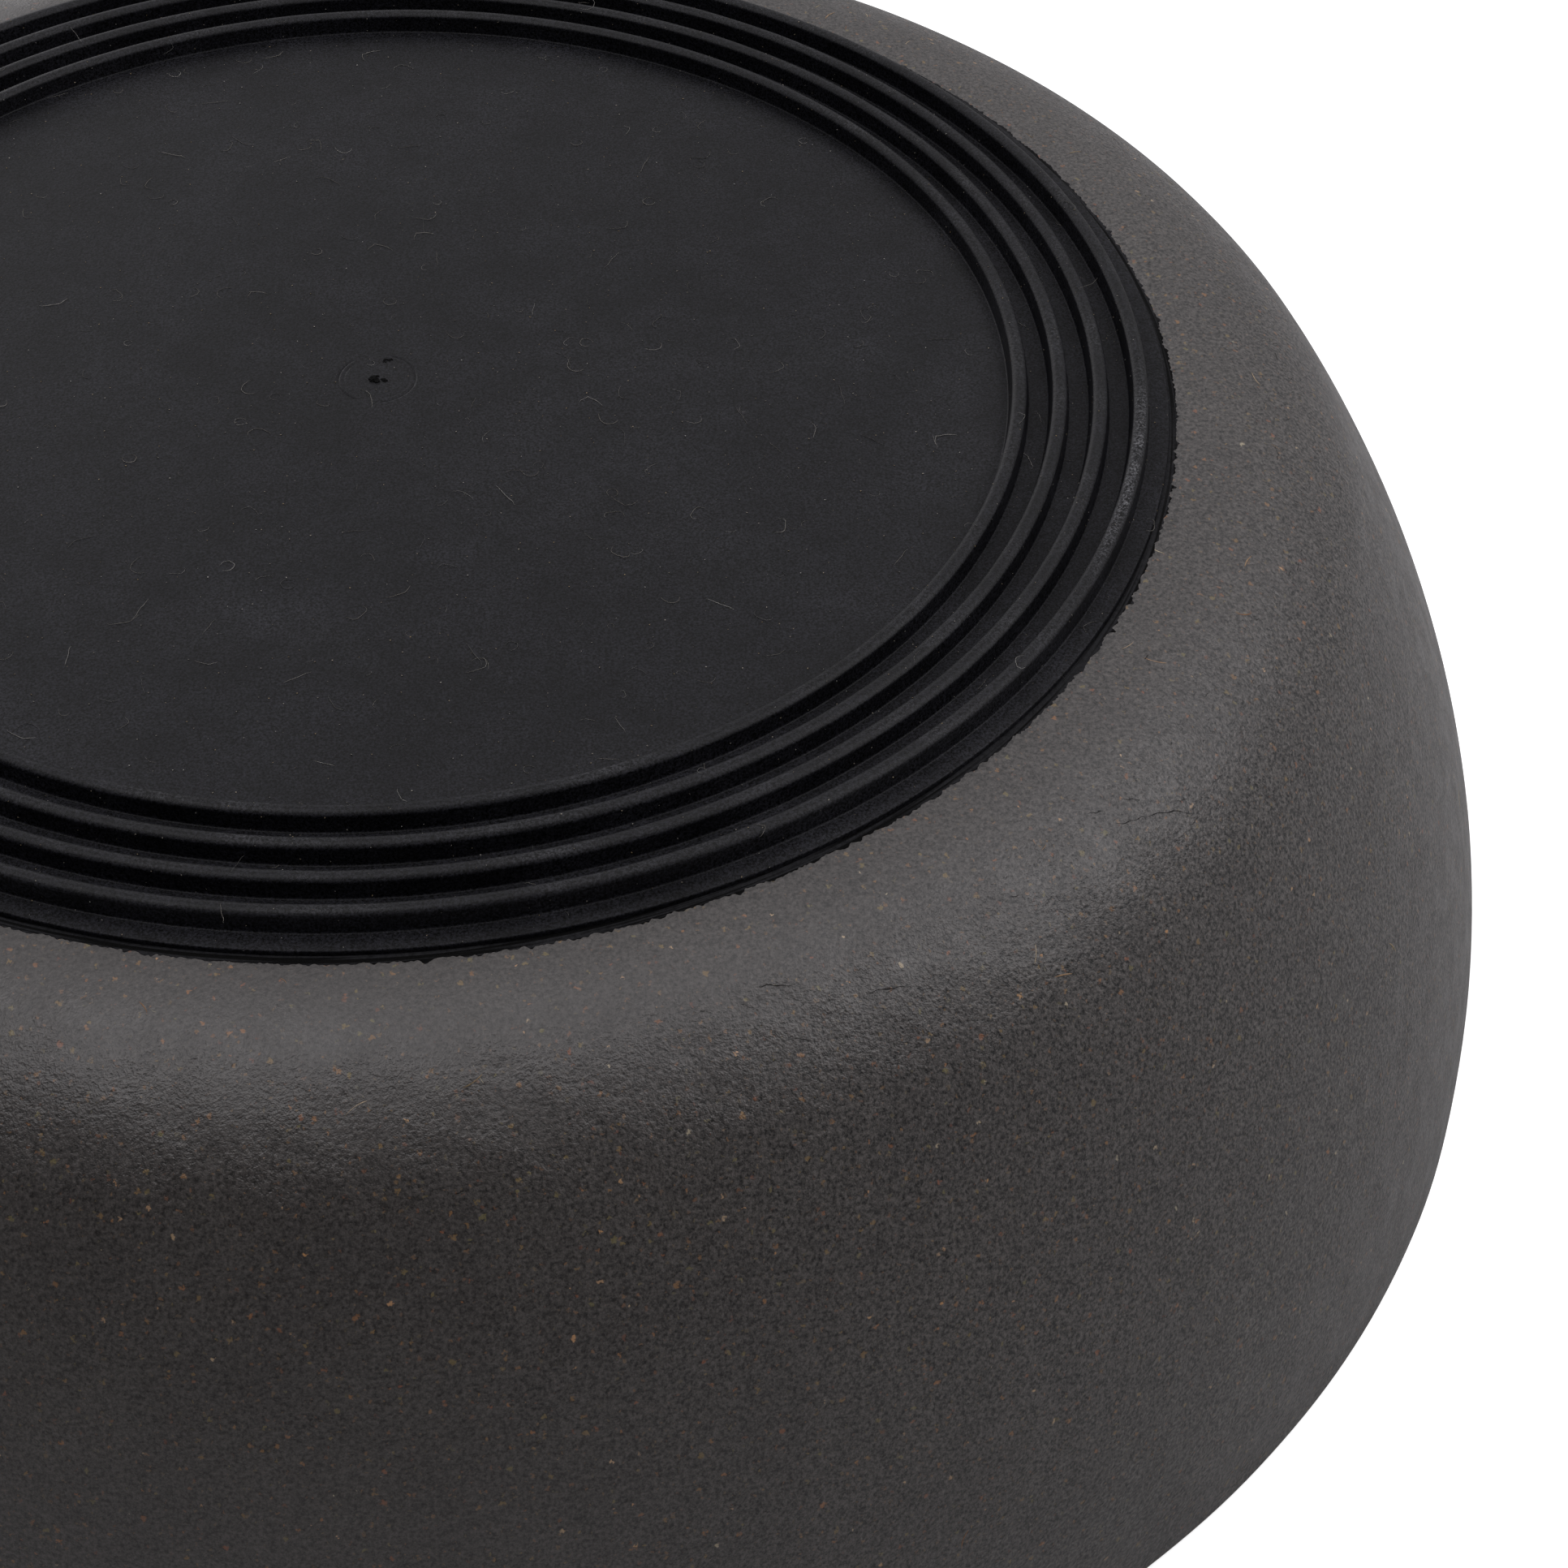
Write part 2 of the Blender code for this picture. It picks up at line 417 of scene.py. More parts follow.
SCATTER_INPUTS = (
    ("Surface", "NodeSocketGeometry"),
    ("Bits", "NodeSocketCollection"),
    ("Density", "NodeSocketFloat"),
    ("Smallest", "NodeSocketFloat"),
    ("Largest", "NodeSocketFloat"),
    ("Seed", "NodeSocketInt"),
    ("Least Upright", "NodeSocketFloat"),
    ("Finish", "NodeSocketMaterial"),
)


def scatter_tree():
    """Node group: lays bits on a surface, turned, sized and tinted at random, and gives the bits alone."""
    tree = bpy.data.node_groups.new("scatter_bits", "GeometryNodeTree")
    tree.is_modifier = True
    for name, kind in SCATTER_INPUTS:
        tree.interface.new_socket(name, in_out="INPUT", socket_type=kind)
    tree.interface.new_socket("Geometry", in_out="OUTPUT", socket_type="NodeSocketGeometry")
    given = add(tree, "NodeGroupInput").outputs
    normal = add(tree, "GeometryNodeInputNormal").outputs[0]
    upright = add(tree, "ShaderNodeSeparateXYZ", {"Vector": normal}).outputs["Z"]
    limits = {0: upright, 1: given["Least Upright"]}
    chosen = add(tree, "FunctionNodeCompare", limits, operation="GREATER_THAN")
    points = add(
        tree,
        "GeometryNodeDistributePointsOnFaces",
        {
            "Mesh": given["Surface"],
            "Selection": chosen.outputs[0],
            "Density": given["Density"],
            "Seed": given["Seed"],
        },
    )
    bits = add(tree, "GeometryNodeCollectionInfo", {"Collection": given["Bits"], "Separate Children": True})
    turn = add(tree, "FunctionNodeRandomValue", {2: 0.0, 3: 2 * pi, "Seed": given["Seed"]}, data_type="FLOAT")
    spin = add(tree, "FunctionNodeAxisAngleToRotation", {"Axis": (0, 0, 1), "Angle": turn.outputs[1]})
    facing = add(
        tree,
        "FunctionNodeRotateRotation",
        {"Rotation": points.outputs["Rotation"], "Rotate By": spin.outputs[0]},
        rotation_space="LOCAL",
    )
    scale = add(
        tree,
        "FunctionNodeRandomValue",
        {2: given["Smallest"], 3: given["Largest"], "Seed": 5},
        data_type="FLOAT",
    )
    laid = add(
        tree,
        "GeometryNodeInstanceOnPoints",
        {
            "Points": points.outputs["Points"],
            "Instance": bits.outputs[0],
            "Pick Instance": True,
            "Rotation": facing.outputs[0],
            "Scale": scale.outputs[1],
        },
    )
    tint = add(tree, "FunctionNodeRandomValue", {2: 0.0, 3: 1.0, "Seed": 9}, data_type="FLOAT")
    tinted = add(
        tree,
        "GeometryNodeStoreNamedAttribute",
        {"Geometry": laid.outputs[0], "Name": "tint", "Value": tint.outputs[1]},
        data_type="FLOAT",
        domain="INSTANCE",
    )
    plain = add(tree, "GeometryNodeRealizeInstances", {"Geometry": tinted.outputs[0]})
    covered = {"Geometry": plain.outputs[0], "Material": given["Finish"]}
    done = add(tree, "GeometryNodeSetMaterial", covered)
    add(tree, "NodeGroupOutput", {"Geometry": done.outputs[0]})
    return tree


def scattered(name, surface, bits, settings, finish, least_upright=-2.0):
    """Lays bits on a surface object by the node group, and swaps the surface for one plain mesh of them.

    Faces whose normals have less upward share than least_upright stay bare.
    """
    tree = bpy.data.node_groups.get("scatter_bits") or scatter_tree()
    group = bpy.data.collections.new(name + "_bits")
    for index, mesh in enumerate(bits):
        group.objects.link(bpy.data.objects.new(f"{name}_bit_{index}", mesh))
    values = {
        "Bits": group,
        "Density": settings.density * 1e4,  # from a square centimetre to a square metre
        "Smallest": settings.smallest,
        "Largest": settings.largest,
        "Seed": settings.seed,
        "Least Upright": least_upright,
        "Finish": finish,
    }
    modifier = surface.modifiers.new("scatter", "NODES")
    modifier.node_group = tree
    for socket in tree.interface.items_tree:
        if socket.name in values:
            modifier[socket.identifier] = values[socket.name]
    surface.update_tag()
    mesh = made_mesh(surface)
    surface.modifiers.clear()
    base = surface.data
    surface.data = mesh
    surface.name = mesh.name = name
    bpy.data.meshes.remove(base)
    for bit in list(group.objects):
        bpy.data.objects.remove(bit)
    bpy.data.collections.remove(group)
    if not mesh.vertices:
        raise RuntimeError(f"nothing was scattered for {name}")
    return surface


def tube(name, points, radius, sides):
    """A closed tube along points, tapered to both ends."""
    shape = bmesh.new()
    rings, last = [], len(points) - 1
    for index, point in enumerate(points):
        along = (points[min(index + 1, last)] - points[max(index - 1, 0)]).normalized()
        across = along.cross(ABOVE).normalized()
        upward = across.cross(along)
        thick = radius * (0.35 + 0.65 * min(1.0, 4 * index / last, 4 * (last - index) / last))
        steps = [2 * pi * side / sides for side in range(sides)]
        rings.append([shape.verts.new(point + thick * (across * cos(a) + upward * sin(a))) for a in steps])
    for near, far in zip(rings, rings[1:]):
        for side in range(sides):
            after = (side + 1) % sides
            shape.faces.new((near[side], near[after], far[after], far[side]))
    shape.faces.new(reversed(rings[0]))
    shape.faces.new(rings[-1])
    bmesh.ops.recalc_face_normals(shape, faces=shape.faces)
    mesh = shaped(name, shape)
    mesh.shade_smooth()
    return mesh


def curled_hair(name, size, dice):
    """One curled hair, lying in the XY plane with its thickness above it."""
    steps, heading = 14, 0.0
    curl = dice.uniform(-0.35, 0.35)
    point, points = Vector((0, 0, size.thickness / 2)), []
    for _ in range(steps + 1):
        points.append(point.copy())
        heading += curl + dice.gauss(0, 0.22)
        point += Vector((cos(heading), sin(heading), 0)) * size.hair / steps
        point.z = size.thickness * (0.5 + 0.9 * abs(dice.gauss(0, 1)))
    return tube(name, points, size.thickness / 2, 3)


def flat_sliver(name, size, dice):
    """One sliver of fibre, half sunk in the XY plane: pointed, slightly bent and flat."""
    bend = dice.uniform(-0.12, 0.12)
    shares = [-0.5 + step / 6 for step in range(7)]
    long = size.sliver_length
    points = [Vector((share * long, bend * (share * share * 4 - 1) * long, 0)) for share in shares]
    mesh = tube(name, points, size.sliver_width / 2, 4)
    for vertex in mesh.vertices:
        vertex.co.z *= 0.22
    return mesh


def dust_grain(name, size, dice):
    """One uneven grain of dust that rests on the XY plane."""
    shape = bmesh.new()
    bmesh.ops.create_icosphere(shape, subdivisions=1, radius=size.grain / 2)
    stretch = dice.uniform(0.5, 1.0)
    for vertex in shape.verts:
        vertex.co *= dice.uniform(0.7, 1.1)
        vertex.co.y *= stretch
        vertex.co.z = vertex.co.z * 0.6 + size.grain * 0.2
    return shaped(name, shape)


# ---------------------------------------------------------------- materials


def srgb(code):
    """An sRGB hex colour as linear red, green, blue and full alpha."""
    values = [int(code[i : i + 2], 16) / 255 for i in (1, 3, 5)]
    return (*[v / 12.92 if v <= 0.04045 else ((v + 0.055) / 1.055) ** 2.4 for v in values], 1.0)


def new_material(name):
    """An empty node material: its tree, its Principled shader, and object coordinates in millimetres."""
    material = bpy.data.materials.new(name)
    material.use_nodes = True
    tree = material.node_tree
    place = add(tree, "ShaderNodeTexCoord")
    in_mm = add(tree, "ShaderNodeMapping", {"Vector": place.outputs["Object"], "Scale": (1 / MM,) * 3})
    return material, tree, tree.nodes["Principled BSDF"], in_mm.outputs["Vector"]


def vector_result(tree, operation, first, second=(0, 0, 0), third=(0, 0, 0)):
    """The vector that an operation on vectors gives."""
    return add(tree, "ShaderNodeVectorMath", {0: first, 1: second, 2: third}, operation=operation).outputs[0]


def mapped(tree, value, low, high, to_low=0.0, to_high=1.0):
    """A value carried from one range to another, held at both ends."""
    node = add(tree, "ShaderNodeMapRange", {0: value, 1: low, 2: high, 3: to_low, 4: to_high})
    return node.outputs[0]


def times(tree, first, second):
    """The product of two values."""
    return add(tree, "ShaderNodeMath", {0: first, 1: second}, operation="MULTIPLY").outputs[0]


def off_axis(tree, place):
    """Distance of a place from the bowl's axis."""
    flat = vector_result(tree, "MULTIPLY", place, (1, 1, 0))
    return add(tree, "ShaderNodeVectorMath", {0: flat}, operation="LENGTH").outputs["Value"]


def noise_value(tree, place, size_mm, detail=2.0, roughness=0.5):
    """Noise whose lumps are about size_mm across."""
    sources = {"Vector": place, "Scale": 1 / size_mm, "Detail": detail, "Roughness": roughness}
    return add(tree, "ShaderNodeTexNoise", sources).outputs["Fac"]


def blended(tree, factor, first, second, blend_type="MIX"):
    """Two colours blended by a factor."""
    sources = {"Factor": factor, 6: first, 7: second}
    return add(tree, "ShaderNodeMix", sources, data_type="RGBA", blend_type=blend_type).outputs[2]


def ramp_colour(tree, value, codes):
    """A colour picked by a value from evenly spaced hex colours."""
    node = add(tree, "ShaderNodeValToRGB", {"Fac": value})
    ramp = node.color_ramp
    while len(ramp.elements) < len(codes):
        ramp.elements.new(0.5)
    for index, code in enumerate(codes):
        ramp.elements[index].position = index / (len(codes) - 1)
        ramp.elements[index].color = srgb(code)
    return node.outputs["Color"]


def coated(tree, shader, colour, roughness, shine=0.5):
    """Gives a shader its colour, its roughness and the strength of its reflections."""
    feed(tree, shader, {"Base Color": colour, "Roughness": roughness, "Specular IOR Level": shine})


def bumped(tree, shader, layers):
    """Stacks bump layers, given as (height value, millimetres), on a shader's normal."""
    normal = None
    for height, depth_mm in layers:
        sources = {"Strength": 1.0, "Distance": depth_mm * MM, "Height": height}
        if normal:
            sources["Normal"] = normal
        normal = add(tree, "ShaderNodeBump", sources).outputs["Normal"]
    tree.links.new(normal, shader.inputs["Normal"])


def fleck_layer(tree, place, under, cell_mm, radius_mm, share, strength, codes):
    """Lays soft flecks over a colour: one in a share of the cells, each with its own tint and size."""
    cells = add(tree, "ShaderNodeTexVoronoi", {"Vector": place, "Scale": 1 / cell_mm})
    chance = add(tree, "ShaderNodeSeparateColor", {"Color": cells.outputs["Color"]})
    chosen = add(tree, "ShaderNodeMath", {0: chance.outputs["Red"], 1: 1 - share}, operation="GREATER_THAN")
    reach = radius_mm / cell_mm
    rim = mapped(tree, chance.outputs["Blue"], 0.0, 1.0, reach * 0.5, reach * 1.3)
    inside = mapped(tree, cells.outputs["Distance"], rim, times(tree, rim, 0.6))
    mask = times(tree, times(tree, inside, chosen.outputs[0]), strength)
    return blended(tree, mask, under, ramp_colour(tree, chance.outputs["Green"], codes))


# Fibre bits from small to large: cell and radius in millimetres, share of cells, strength, and colours
FLECKS = (
    (0.55, 0.15, 0.48, 0.60, ("#63493a", "#54503e", "#74583e", "#603c30")),
    (0.90, 0.21, 0.42, 0.65, ("#7c4a34", "#76603e", "#66603f", "#8c5e3c")),
    (1.80, 0.19, 0.42, 0.80, ("#a87c50", "#9a917c", "#b0845c", "#8f7860")),
)


def fibre_composite():
    """Bamboo-fibre composite, compression moulded: dark satin resin with rusty, tan and olive bits."""
    material, tree, shader, place = new_material("bamboo_composite_compression_moulded")
    # Cloudy mixing of resin and fibre dust, in patches about 9 mm across
    resin = blended(tree, noise_value(tree, place, 9, 3.0), srgb("#343130"), srgb("#3d3a38"))
    # Fibre dust: a grain of 0.3 mm, drawn a little coarser than the real dust. It is weaker on the flat than
    # down the side, and its contrast grows towards +X as painted light and shade, for the skin's relief under
    # the right-hand light.
    grain = noise_value(tree, place, 0.32, 2.0, 0.8)
    parts = add(tree, "ShaderNodeSeparateXYZ", {"Vector": place})
    height = parts.outputs["Z"]
    foot_mm = SHELL_HIGH.z / MM
    side = mapped(tree, height, foot_mm - 0.5, foot_mm - 6, 0.72, 1.1)
    grain_with_painted_lit_side = times(tree, mapped(tree, parts.outputs["X"], 0, 80, 0.85, 2.0), side)
    tone = times(tree, mapped(tree, grain, 0.32, 0.68, -0.70, 0.78), grain_with_painted_lit_side)
    tone = add(tree, "ShaderNodeMath", {0: tone, 1: 1.0}, operation="ADD").outputs[0]
    colour = blended(tree, 1.0, resin, mapped(tree, tone, 0.0, 4.0, 0.0, 4.0), "MULTIPLY")
    # Ragged edges for the fibre bits
    ragged = add(tree, "ShaderNodeTexNoise", {"Vector": place, "Scale": 1 / 0.3, "Detail": 2.0})
    shift = vector_result(tree, "SUBTRACT", ragged.outputs["Color"], (0.5,) * 3)
    bent = vector_result(tree, "MULTIPLY_ADD", shift, (0.7,) * 3, place)
    for flecks in FLECKS:
        colour = fleck_layer(tree, bent, colour, *flecks)
    # Satin skin, with smoother patches 3 mm across where the resin rose to the surface
    satin = mapped(tree, noise_value(tree, place, 3.0, 2.0, 0.6), 0.35, 0.65, 0.36, 0.44)
    coated(tree, shader, colour, satin)

    # Crinkle of the skin: slight on the flat by the pad, strong round the shoulder, medium down the side
    steep = mapped(tree, height, foot_mm - 0.05, foot_mm - 1.8, 0.40, 1.0)
    lower = mapped(tree, height, foot_mm - 4.5, foot_mm - 14, 1.0, 0.62)
    uneven = mapped(tree, noise_value(tree, place, 3.5, 1.0), 0.35, 0.65, 0.75, 1.25)
    amount = times(tree, times(tree, steep, lower), uneven)
    crinkle = times(tree, noise_value(tree, place, 0.44, 2.0, 0.7), amount)
    patches = times(tree, noise_value(tree, place, 2.6, 1.0), amount)
    bumped(tree, shader, [(patches, 0.09), (crinkle, 0.085), (times(tree, grain, amount), 0.07)])
    return material


def black_rubber(pad):
    """Black rubber, compression moulded: matt, with bloom in broad smears, scuffs with dust on the ribs,
    painted shade in the grooves and a painted highlight on the crests.
    """
    material, tree, shader, place = new_material("black_rubber_compression_moulded")
    crest_mm = PAD_HIGH.z / MM
    disc_mm = crest_mm - pad.rib_height / MM
    first_rib_mm = pad.first_rib / MM
    outer_rib_mm = first_rib_mm + (pad.ribs - 1) * pad.rib_pitch / MM

    # Bloom: broad smears of a slightly paler black
    smear_sources = {"Vector": place, "Scale": 1 / 26, "Detail": 2.0, "Distortion": 1.2}
    smear = add(tree, "ShaderNodeTexNoise", smear_sources)
    bloom = mapped(tree, smear.outputs["Fac"], 0.45, 0.75, 0.0, 0.7)
    colour = blended(tree, bloom, srgb("#101013"), srgb("#18181b"))
    wiped = mapped(tree, noise_value(tree, place, 5, 3.0, 0.6), 0.35, 0.65, 0.75, 1.25)
    colour = blended(tree, 1.0, colour, wiped, "MULTIPLY")
    # Talc left from the mould: a fine pale grain of 0.2 mm
    talc = noise_value(tree, place, 0.2, 2.0, 0.8)
    colour = blended(tree, 1.0, colour, mapped(tree, talc, 0.37, 0.70, 0.0, 2.9), "MULTIPLY")
    # Scuffs: only on the crests, all along them faintly, and strong on the outer rib at the right
    height = add(tree, "ShaderNodeSeparateXYZ", {"Vector": place}).outputs["Z"]
    crest = mapped(tree, height, crest_mm - 0.25, crest_mm - 0.05)
    spot = add(tree, "ShaderNodeVectorMath", {0: place, 1: SCUFF_PLACE}, operation="DISTANCE")
    near = mapped(tree, spot.outputs["Value"], SCUFF_REACH, SCUFF_REACH * 0.35)
    radius = off_axis(tree, place)
    outer_rib = mapped(tree, radius, outer_rib_mm - 1.09, outer_rib_mm - 0.79)
    faint = mapped(tree, noise_value(tree, place, 7, 2.0), 0.45, 0.75, 0.0, 0.16)
    patchy = mapped(tree, noise_value(tree, place, 1.6, 2.0), 0.35, 0.6, 0.35, 0.8)
    strong = times(tree, times(tree, near, outer_rib), patchy)
    amount = add(tree, "ShaderNodeMath", {0: faint, 1: strong}, operation="MAXIMUM").outputs[0]
    marks = mapped(tree, noise_value(tree, place, 0.2, 3.0, 0.8), 0.46, 0.66)
    scuff = times(tree, times(tree, amount, crest), marks)
    colour = blended(tree, scuff, colour, srgb("#77777a"))
    # Shine: the grooves between the ribs reflect less than the disc, as painted shade, and the crests more,
    # as a painted highlight
    ribbed = mapped(tree, radius, first_rib_mm - 1.65, first_rib_mm - 0.65)
    groove_shade_crest_highlight = mapped(tree, height, disc_mm + 0.3, disc_mm + 1.5, 0.105, 0.17)
    shine = add(tree, "ShaderNodeMix", {0: ribbed, 2: 0.16, 3: groove_shade_crest_highlight}).outputs[0]
    coated(tree, shader, colour, 0.46, shine)
    bumped(tree, shader, [(noise_value(tree, place, 0.22, 2.0), 0.02)])
    return material


def cut_rubber():
    """Rubber flash, cut with a knife: duller and darker than the moulded skin, with fine knife lines whose
    dark rings are painted shade for the steps between the cut layers.
    """
    material, tree, shader, place = new_material("black_rubber_knife_cut")
    # Knife lines: rings round the axis, about 0.4 mm apart, that run out slowly, broken by grime.
    # Their dark rings are painted shade, standing in for the shade on the steps between the cut layers.
    ring = vector_result(tree, "MULTIPLY_ADD", place, (0.04,) * 3, off_axis(tree, place))
    lines = mapped(tree, noise_value(tree, ring, 0.45, 1.0), 0.43, 0.57)
    grime = mapped(tree, noise_value(tree, place, 0.5, 3.0, 0.7), 0.3, 0.7, 0.4, 1.4)
    colour = blended(tree, times(tree, lines, grime), srgb("#020202"), srgb("#202022"))
    coated(tree, shader, colour, 0.6, 0.05)
    bumped(tree, shader, [(noise_value(tree, place, 0.15, 2.0), 0.04)])
    return material


def torn_rubber_painted_shade():
    """Torn rubber at the gate: ragged, with hardly any shine. Its near-black colour is painted shade, for the
    hollow that the torn gate leaves.
    """
    material, tree, shader, place = new_material("black_rubber_torn_painted_shade")
    tear = noise_value(tree, place, 0.12, 3.0, 0.7)
    coated(tree, shader, blended(tree, tear, srgb("#020202"), srgb("#131313")), 0.8, 0.05)
    bumped(tree, shader, [(tear, 0.03)])
    return material


def crease_shadow():
    """Painted shade at the bottom of a crease in the composite's skin: dark and dull."""
    material, tree, shader, place = new_material("bamboo_composite_crease_painted_shade")
    depth = noise_value(tree, place, 0.5, 2.0)
    coated(tree, shader, blended(tree, depth, srgb("#070606"), srgb("#1d1b1a")), 0.75, 0.1)
    return material


def tinted_bits(name, codes, roughness, grain_mm):
    """A dry matt finish whose colour differs from bit to bit, with a little grain in each."""
    material, tree, shader, place = new_material(name)
    tint = add(tree, "ShaderNodeAttribute", attribute_name="tint").outputs["Fac"]
    streak = mapped(tree, noise_value(tree, place, grain_mm), 0.3, 0.7, 0.75, 1.2)
    colour = blended(tree, 1.0, ramp_colour(tree, tint, codes), streak, "MULTIPLY")
    coated(tree, shader, colour, roughness, 0.2)
    return material


def contact_adhesive():
    """Contact adhesive, brushed and dried: amber, slightly glossy, with brush streaks."""
    material, tree, shader, place = new_material("contact_adhesive_brushed_dry")
    strokes = {"Vector": place, "Scale": 0.35, "Distortion": 6.0, "Detail": 3.0}
    streak = add(tree, "ShaderNodeTexWave", strokes).outputs["Fac"]
    coated(tree, shader, blended(tree, streak, srgb("#a88a52"), srgb("#c8ad74")), 0.4)
    bumped(tree, shader, [(streak, 0.06)])
    return material


def studio_floor(colour, glow):
    """Seamless studio paper: pale and matt with a faint tooth. Only the camera sees its glow."""
    material, tree, shader, place = new_material("seamless_paper_matt")
    coated(tree, shader, (*colour, 1), 0.9, 0.1)
    seen = add(tree, "ShaderNodeLightPath").outputs["Is Camera Ray"]
    feed(tree, shader, {"Emission Color": (1, 1, 1, 1), "Emission Strength": times(tree, seen, glow)})
    bumped(tree, shader, [(noise_value(tree, place, 1.5), 0.02)])
    return material


# ---------------------------------------------------------------- operators


def finished(piece, slot, *nodes):
    """Puts a piece on the body and hides the CAD nodes that it stands for. The slot argument is not used."""
    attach(piece, BODY)
    if nodes:
        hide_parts(*nodes)
    return {"FINISHED"}


class BOWL_OT_turn_shell(bpy.types.Operator):
    """Turn the moulded shell and put it in place of the CAD shell"""

    bl_idname = "bowl.turn_shell"
    bl_label = "Turn Shell"

    def execute(self, context):
        size = context.scene.bowl_shell
        shell = turned("moulded_shell", shell_outline(size), size.segments, fibre_composite())

        def outside(vertex):
            flat = Vector((vertex.co.x, vertex.co.y, 0))
            return flat.length > PAD_HIGH.x + 2 * MM and vertex.normal.dot(flat.normalized() + ABOVE) > 0.2

        waved(shell.data, size.unevenness, 11 * MM, outside)
        return finished(shell, "fibre_composite", "bowl_body")


class BOWL_OT_turn_pad(bpy.types.Operator):
    """Turn the ribbed rubber pad and put it in place of the CAD pad"""

    bl_idname = "bowl.turn_pad"
    bl_label = "Turn Rubber Pad"

    def execute(self, context):
        size = context.scene.bowl_pad
        pad = turned("ribbed_pad", pad_outline(size), size.segments, black_rubber(size))
        disc_z = PAD_HIGH.z - size.rib_height
        faint, clear = gate_rings(size)
        moved = []
        for vertex in pad.data.vertices:
            place = vertex.co.copy()
            radius = place.xy.length
            if place.z > disc_z - 0.1 * MM:
                # The witness lines come and go every few millimetres round their rings
                depth = min(1.0, max(0.0, 0.45 + noise.noise(place / (2.1 * MM))))
                if abs(radius - clear) < GATE_LINE_STEP / 5:
                    place.z -= size.gate_groove * depth
                elif abs(radius - faint) < GATE_LINE_STEP / 5:
                    place.z -= size.gate_groove * 0.3 * depth
                # Everything within 6 mm of the axis moves off it, and less and less out to 18 mm
                place.y -= size.gate_offset * min(1.0, max(0.0, 1.5 - radius / (12 * MM)))
            moved.extend(place)
        pad.data.vertices.foreach_set("co", moved)
        waved(pad.data, size.unevenness, 4 * MM, lambda vertex: vertex.co.z > disc_z + 0.3 * MM)
        return finished(pad, "moulded_rubber", "base_pad")


class BOWL_OT_trim_flash(bpy.types.Operator):
    """Lay the ragged trimmed flash round the pad's edge"""

    bl_idname = "bowl.trim_flash"
    bl_label = "Trim Flash"

    def execute(self, context):
        size = context.scene.bowl_flash
        # Each row: how far out from the pad's edge, and how high above the foot. Layers end in small steps.
        rows = [(-0.08 * MM, (size.steps + 1) * size.layer)]
        for step in range(size.steps):
            out = size.reach * (step + 1) / size.steps
            left = size.steps - step
            rows.append((out, (left + 0.35) * size.layer))
            rows.append((out + 0.02 * MM, left * size.layer))
        rows[-1] = (size.reach + 0.05 * MM, 0.25 * size.layer)
        shape = bmesh.new()
        rings = []
        for segment in range(size.segments):
            heading = 2 * pi * segment / size.segments
            way = Vector((cos(heading), sin(heading), 0))
            at = way * PAD_HIGH.x
            # Rag of two sizes all along, and now and then a tag
            rag = noise.noise(at / (0.9 * MM)) + 0.8 * noise.noise(at / (0.3 * MM))
            tag = max(0.0, noise.noise(at / (0.8 * MM) + Vector((40, 0, 0))) - 0.36) / 0.64
            ring = []
            for out, lift in rows:
                share = max(0.0, out / size.reach) ** 3
                wobble = 0.15 * noise.noise((at + way * out * 9) / (1.7 * MM))
                wander = share * (size.raggedness * rag + size.tags * tag) + wobble * 0.1 * MM
                height = SHELL_HIGH.z + max(0.012 * MM, lift * (1 + wobble))
                ring.append(shape.verts.new(at + way * (out + wander) + ABOVE * height))
            rings.append(ring)
        for near, far in zip(rings, rings[1:] + rings[:1]):
            for row in range(len(rows) - 1):
                shape.faces.new((near[row], near[row + 1], far[row + 1], far[row]))
        mesh = shaped("trimmed_flash", shape, cut_rubber())
        return finished(linked("trimmed_flash", mesh), "moulded_rubber")


class BOWL_OT_tear_gate(bpy.types.Operator):
    """Leave the torn stubs of rubber inside the gate's witness line"""

    bl_idname = "bowl.tear_gate"
    bl_label = "Tear Gate"

    # Each stub: right, back, half width, half depth in millimetres, and its share of the full height
    STUBS = (
        (-0.30, -0.15, 0.40, 0.46, 1.0),
        (-0.02, -0.42, 0.30, 0.22, 0.7),
        (-0.12, 0.22, 0.30, 0.20, 0.6),
        (0.66, -0.38, 0.26, 0.22, 0.5),
        (0.46, -0.20, 0.14, 0.16, 0.4),
        (1.10, 2.42, 0.46, 0.15, 0.35),
        (0.72, 2.20, 0.18, 0.10, 0.25),
    )

    def execute(self, context):
        size = context.scene.bowl_scar
        pad = context.scene.bowl_pad
        shape = bmesh.new()
        for right, back, half_width, half_depth, share in self.STUBS:
            middle = (right * MM, back * MM - pad.gate_offset, PAD_HIGH.z - pad.rib_height)
            place = Matrix.Translation(middle)
            stretch = Matrix.Diagonal((half_width * MM, half_depth * MM, size.height * share, 1))
            bmesh.ops.create_icosphere(shape, subdivisions=4, radius=1, matrix=place @ stretch)
        noise.seed_set(size.seed)
        for vertex in shape.verts:
            rag = noise.noise_vector(vertex.co / (0.16 * MM)) * size.raggedness * 0.2 * MM
            vertex.co += Vector((rag.x, rag.y, rag.z * 0.3))
        # The stubs' near-black finish is painted shade for the hollow of the torn gate.
        return finished(linked("gate_scar", shaped("gate_scar", shape, torn_rubber_painted_shade())), "moulded_rubber")


